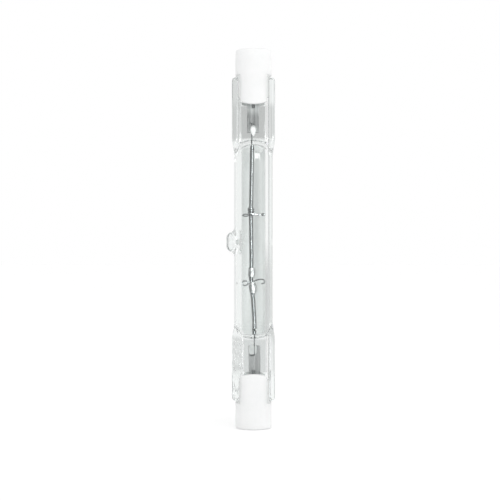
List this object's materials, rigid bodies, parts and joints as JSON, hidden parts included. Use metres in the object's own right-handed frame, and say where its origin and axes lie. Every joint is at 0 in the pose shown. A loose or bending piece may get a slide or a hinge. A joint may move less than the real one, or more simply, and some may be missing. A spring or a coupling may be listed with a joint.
{
  "type": "halogen bulb",
  "caption": "Double-ended linear halogen bulb: clear quartz tube with a coiled filament, flat press seals and white ceramic caps with recessed contacts.",
  "frame": {"origin": "centre of the lower cap's end face, at the mouth of its contact recess", "axes": "+Z along the bulb's axis to the other cap, X across the broad faces of the press seals, the exhaust tip to -X"},
  "size_m": [0.0101, 0.008, 0.0783],
  "materials": {
    "quartz": "clear, fire-polished fused quartz",
    "steatite": "unglazed white steatite",
    "cement": "rough white cement",
    "nickel": "satin nickel plating",
    "molybdenum": "rolled and drawn molybdenum",
    "tungsten": "drawn tungsten wire"
  },
  "bodies": {
    "root": {"quartz_envelope": "quartz", "lower_ceramic_cap": "steatite", "upper_ceramic_cap": "steatite", "lower_cement": "cement", "upper_cement": "cement", "lower_contact": "nickel", "upper_contact": "nickel", "lower_outer_lead": "molybdenum", "upper_outer_lead": "molybdenum", "lower_foil": "molybdenum", "upper_foil": "molybdenum", "lower_inner_lead": "molybdenum", "upper_inner_lead": "molybdenum", "lower_filament_support": "tungsten", "upper_filament_support": "tungsten", "filament": "tungsten"}
  },
  "joints": []
}
